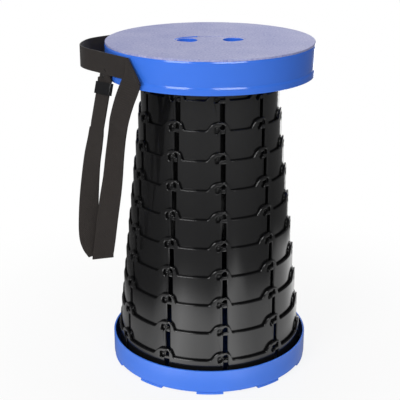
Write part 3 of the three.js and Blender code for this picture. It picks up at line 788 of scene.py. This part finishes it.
# The screws: plated steel, driven up from below into the seat's bosses and the first ring's.
plated = Finish("plated_steel")
plated_place = object_place(plated, (1, 1, 8))
plated_lines = plated.noise(plated_place, 600, 3)
plated_tone = plated.tint(plated_lines, (0.42, 0.43, 0.44, 1), (0.6, 0.61, 0.62, 1))
plated_bump = plated.add("Bump", None, {"Height": plated_lines, "Strength": 0.1, "Distance": 0.05 * mm})
plated.close(plated.add("BsdfPrincipled", None, {
    "Base Color": plated_tone, "Metallic": 1, "Roughness": 0.3 + plated_lines * 0.1,
    "Normal": plated_bump}))
for name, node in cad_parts.items():
    if "screw" in name:
        node.data.materials.clear()
        node.data.materials.append(plated.material)


# The strap: 25 mm black woven webbing. It comes out of a slot in the skirt at the rear left, runs
# on edge round the seat, folds over at the front left, hangs in a long loop, comes back up
# through the slider and is sewn behind its own edge run.
strap_width = 25
strap_thick = 1.5
strap_seat_radius = 125
strap_low_z = 377
strap_middle_z = 389.5
strap_hang = 232
top_fold = (40, 1.5)
bottom_fold = (-15, 2.6)
tail_back, tail_deep = 7, 8
edge_stations = 60
hanging_stations = 44
slider_stations = 8
sewn_stations = 26
tail_stations = 12
webbing_lines = 10

# The routes, as listed. The edge run is (azimuth, share of the seat's radius). The others
# add the share of the hang below the edge run, and the heading and tilt of the webbing's breadth.
edge_route = ((-132.4, 1.0135), (-124, 1.034), (-114.6, 1.094), (-108.5, 1.155), (-103.4, 1.201),
              (-97.2, 1.222), (-91.9, 1.229), (-86.7, 1.226), (-81.8, 1.198), (-77.4, 1.158),
              (-69.7, 1.085), (-61.6, 1.042), (-53.1, 1.0135), (-46.2, 1.0125))
front_route = ((-41.9, 1.03, -0.014, -40, -22), (-43.9, 1.038, 0.03, -30, -19),
               (-47.2, 1.053, 0.104, -30, -13),
               (-51.2, 1.06, 0.203, -32, -11), (-54.2, 1.046, 0.267, -34, -6), (-56.7, 1.054, 0.388, -30, 0),
               (-58.5, 1.07, 0.53, -21, 0), (-60.1, 1.09, 0.638, -8, 4), (-63.7, 1.093, 0.754, -8, 9),
               (-68.1, 1.098, 0.892, -4, 8), (-70, 1.112, 0.974, 2, 8))
rear_route = ((-73.2, 1.16, 0.968, 4, 24), (-73.9, 1.198, 0.935, 4, 24), (-74.4, 1.219, 0.899, 2, 14),
              (-74.5, 1.226, 0.849, -3, 6), (-74.4, 1.223, 0.78, -9, 0), (-74, 1.216, 0.69, -19, 0),
              (-72, 1.203, 0.569, -29, 0), (-69.1, 1.187, 0.435, -38, 0), (-66.3, 1.174, 0.349, -43, 0))
slider_route = ((-64, 1.163, 0.263, -47, 7), (-67, 1.05, 0.034, -47, 7))
sewn_route = ((-69.2, 1.052, 0.008, -75, 0), (-70.8, 1.043, -0.012, -70, 0), (-72, 1.043, -0.03, -69, 0),
              (-72.8, 1.064, -0.048, -62, 0), (-72.5, 1.089, -0.066, -49, 0), (-72.3, 1.093, -0.086, -49, 0))


def at_azimuth(azimuth, radius, z):
    return Vector((*on_circle(radius, math.radians(azimuth)), z))


def hanging(azimuth, share, drop, heading, tilt):
    """A place on a hanging run and the webbing's direction across, in millimetres."""
    heading, tilt = math.radians(heading), math.radians(tilt)
    across = Vector((-math.cos(tilt) * math.cos(heading), -math.cos(tilt) * math.sin(heading),
                     -math.sin(tilt)))
    return at_azimuth(azimuth, share * strap_seat_radius, strap_low_z - drop * strap_hang), across


def smooth(points, share):
    """A point on the centripetal curve through the points, from 0 to 1."""
    spans = len(points) - 1
    first = min(int(share * spans), spans - 1)
    t = share * spans - first
    p = [points[first - 1] if first else 2 * points[0] - points[1], points[first], points[first + 1],
         points[first + 2] if first + 2 <= spans else 2 * points[-1] - points[-2]]
    gaps = [max((p[i + 1] - p[i]).length ** 0.5, 1e-4) for i in range(3)]
    one = ((p[1] - p[0]) / gaps[0] - (p[2] - p[0]) / (gaps[0] + gaps[1]) + (p[2] - p[1]) / gaps[1]) * gaps[1]
    two = ((p[2] - p[1]) / gaps[1] - (p[3] - p[1]) / (gaps[1] + gaps[2]) + (p[3] - p[2]) / gaps[2]) * gaps[1]
    return (p[1] + one * t + (3 * (p[2] - p[1]) - 2 * one - two) * t ** 2
            + (2 * (p[1] - p[2]) + one + two) * t ** 3)


def run(places, steps):
    """Stations along a smooth run: (middle, across, half breadth, normal, along)."""
    middles, sides = zip(*places)
    fine = [(smooth(middles, i / steps), smooth(sides, i / steps)) for i in range(steps + 1)]
    stations = []
    for i, (middle, across) in enumerate(fine):
        along = (fine[min(i + 1, steps)][0] - fine[max(i - 1, 0)][0]).normalized()
        level = (across - along * across.dot(along)).normalized()
        stations.append((middle, level, strap_width / 2, along.cross(level), along))
    return stations


def folded(station, lean, radius, steps=10):
    """The half turn of webbing that is folded over along a leaning crease."""
    middle, across, half, normal, along = station
    lean = math.radians(lean)
    crease = across * math.cos(lean) - along * math.sin(lean)
    half = half / math.cos(lean)
    middle = middle + along * (half * abs(math.sin(lean)) + strap_thick / 2)
    onward = crease.cross(normal).normalized()
    turns = [math.pi * i / steps for i in range(steps + 1)]
    return [(middle + onward * math.sin(a) * radius + normal * (1 - math.cos(a)) * radius, crease, half,
             normal * math.cos(a) - onward * math.sin(a), along) for a in turns]


up = Vector((0, 0, 1))
edge_run = run([(at_azimuth(azimuth, share * strap_seat_radius, strap_middle_z), up)
                for azimuth, share in edge_route], edge_stations)
front_run = run([hanging(*place) for place in front_route], hanging_stations)
stretch = [hanging(*place) for place in slider_route]
rear_run = run([hanging(*place) for place in rear_route] + [stretch[0]], hanging_stations)
slider_run = run(stretch, slider_stations)
sewn_run = run([stretch[1]] + [hanging(*place) for place in sewn_route], sewn_stations)
tail_shares = ((0.95, 1), (0.9, 0.8), (0.82, 0.6), (0.7, 0.38), (0.52, 0.16), (0.3, 0.04))
slot_middle, _, _, slot_normal, slot_along = edge_run[0]
tail_run = run([(slot_middle - slot_along * back * tail_back - slot_normal * deep * tail_deep, up)
                for back, deep in tail_shares], tail_stations)
stations = (tail_run + edge_run + folded(edge_run[-1], *top_fold) + front_run
            + folded(front_run[-1], *bottom_fold) + rear_run[:-1] + slider_run + sewn_run[1:])


class Webbing:
    """Woven webbing grown station by station from a first row of points, with its lengthways and
    crossways places kept for the weave."""

    def __init__(self, lines):
        self.form = bmesh.new()
        self.along = self.form.verts.layers.float.new("along")
        self.across = self.form.verts.layers.float.new("across")
        self.lines = lines
        self.rows = []
        self.travelled = 0
        self.middle = None

    def add(self, middle, across, half):
        if self.rows:
            old = self.rows[-1]
            edges = [self.form.edges.get(pair) for pair in zip(old, old[1:])]
            fresh = points_among(bmesh.ops.extrude_edge_only(self.form, edges=edges)["geom"])
            row = [min(fresh, key=lambda vert, base=base: (vert.co - base.co).length) for base in old]
            self.travelled += (middle - self.middle).length
        else:
            row = [self.form.verts.new((place * mm, 0, 0)) for place in range(self.lines + 1)]
            for pair in zip(row, row[1:]):
                self.form.edges.new(pair)
        self.middle = middle
        for place, vert in enumerate(row):
            vert.co = (middle + across * half * (2 * place / self.lines - 1)) * mm
            vert[self.along] = self.travelled
            vert[self.across] = strap_width * place / self.lines
        self.rows.append(row)

    def finish(self, name, material):
        """Maps the weave in units of 100 mm, and gives the webbing its thickness and soft edges."""
        weave_map = self.form.loops.layers.uv.new("weave")
        for face in self.form.faces:
            for loop in face.loops:
                loop[weave_map].uv = (loop.vert[self.across] / 100, loop.vert[self.along] / 100)
        piece = set_down(self.form, name, [material], 180)
        thick = piece.modifiers.new("thickness", "SOLIDIFY")
        thick.thickness = strap_thick * mm
        thick.offset = 0
        thick.use_even_offset = True
        thick.thickness_clamp = 1
        soft = piece.modifiers.new("soft_edges", "BEVEL")
        soft.width = 0.45 * mm
        soft.segments = 2
        soft.limit_method = "ANGLE"
        soft.angle_limit = math.radians(60)
        return piece


weave_columns = 80
weave_waves = 260
woven = Finish("woven_webbing")
woven_map = woven.add("UVMap", {"uv_map": "weave"})
woven_u, woven_v, _ = woven.split("XYZ", woven_map)
woven_across = woven_u * weave_columns
woven_column = woven_across.join(0, "FLOOR")
woven_place = woven_across - woven_column
woven_parity = woven_column.join(2, "MODULO")
woven_arch = 4 * woven_place * (1 - woven_place)
woven_wave = (woven_v * weave_waves + woven_parity * math.pi).join(0, "SINE") * 0.5 + 0.5
woven_height = woven_arch * (woven_wave * 0.75 + 0.25)
woven_fuzz = woven.noise(object_place(woven), 2600, 3)
woven_wear = woven.noise(object_place(woven), 45, 3)
woven_shade = woven.tint(woven_height * 0.7 + woven_fuzz * 0.25 + woven_wear * 0.15,
                         (*paint(19, 16, 15), 1), (*paint(58, 52, 49), 1))
woven_bump = woven.add("Bump", None, {"Height": woven_height + woven_fuzz * 0.3, "Strength": 0.6,
                                      "Distance": 0.3 * mm})
woven.close(woven.add("BsdfPrincipled", None, {
    "Base Color": woven_shade, "Roughness": 0.72 + woven_fuzz * 0.2, "Normal": woven_bump,
    "Specular IOR Level": 0.3, "Sheen Weight": 0.12, "Sheen Roughness": 0.4}))

webbing = Webbing(webbing_lines)
for station in stations:
    webbing.add(*station[:3])
strap = webbing.finish("carry_strap", woven.material)
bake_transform(strap)
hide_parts("strap_webbing", "strap_end")

# The hem: the webbing's stitched end, a thicker block inside the skirt.
hem_size = (5.4 * mm, 1.9 * mm, 24.6 * mm)
hem_round = 0.7 * mm
hem = bmesh.new()
box_at(hem, hem_size, (0, 0, 0), 0, hem_round)
hem_place, hem_along = tail_run[1][0] * mm, -tail_run[0][4]
turn(hem, math.atan2(-hem_along.x, hem_along.y), hem.verts[:])
bmesh.ops.translate(hem, vec=hem_place, verts=hem.verts[:])
hem_piece = set_down(hem, "strap_hem", [moulded("hem_thread", paint(44, 39, 38), 0.8, 0.2, 2200, 0.6)])
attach(hem_piece, "ring_11")


# The slider: a flat loop of black moulded plastic that the strap's rear run passes through.
slider_plastic = moulded("slider_plastic", paint(22, 22, 24), 0.34, 0.4, 1500, 0.15)
slider_height = 14
slider_hole = (26.2, 2.8, 0.6)
slider_outside = (29.4, 5, 1.6)
slider_round = 0.3 * mm
slider_corner_angle = 1.3
slider_share = 0.83


def rounded_outline(width, depth, corner, steps=4):
    """A rectangle with rounded corners in the XZ plane, in metres."""
    outline = []
    for quarter, (sx, sz) in enumerate(((1, 1), (-1, 1), (-1, -1), (1, -1))):
        for step in range(steps + 1):
            angle = math.pi / 2 * (quarter + step / steps)
            outline.append(((sx * (width / 2 - corner) + corner * math.cos(angle)) * mm,
                            (sz * (depth / 2 - corner) + corner * math.sin(angle)) * mm))
    return outline


loop_form = bmesh.new()
for size in (slider_outside, slider_hole):
    trace(loop_form, rounded_outline(*size))
bmesh.ops.triangle_fill(loop_form, use_beauty=True, use_dissolve=False, edges=loop_form.edges[:],
                        normal=(0, -1, 0))
pushed = bmesh.ops.extrude_face_region(loop_form, geom=loop_form.faces[:], use_keep_orig=True)["geom"]
bmesh.ops.translate(loop_form, vec=(0, slider_height * mm, 0), verts=points_among(pushed))
bmesh.ops.translate(loop_form, vec=(0, -slider_height / 2 * mm, 0), verts=loop_form.verts[:])
bmesh.ops.recalc_face_normals(loop_form, faces=loop_form.faces[:])
loop_rims = [edge for edge in loop_form.edges if edge.calc_face_angle(0) > slider_corner_angle]
soften(loop_form, loop_rims, slider_round, 2)
low, high = slider_run[0], slider_run[-1]
strand = (high[0] - low[0]).normalized()
strand_across = (low[1] - strand * low[1].dot(strand)).normalized()
strand_normal = strand.cross(strand_across)
slider_turn = Matrix((strand_across, strand, strand_normal)).transposed()
slider_place = low[0].lerp(high[0], slider_share) * mm
bmesh.ops.rotate(loop_form, cent=(0, 0, 0), matrix=slider_turn, verts=loop_form.verts[:])
bmesh.ops.translate(loop_form, vec=slider_place, verts=loop_form.verts[:])
carry(set_down(loop_form, "slider_loop", [slider_plastic]), "slider", "slider_black", "strap_slider")
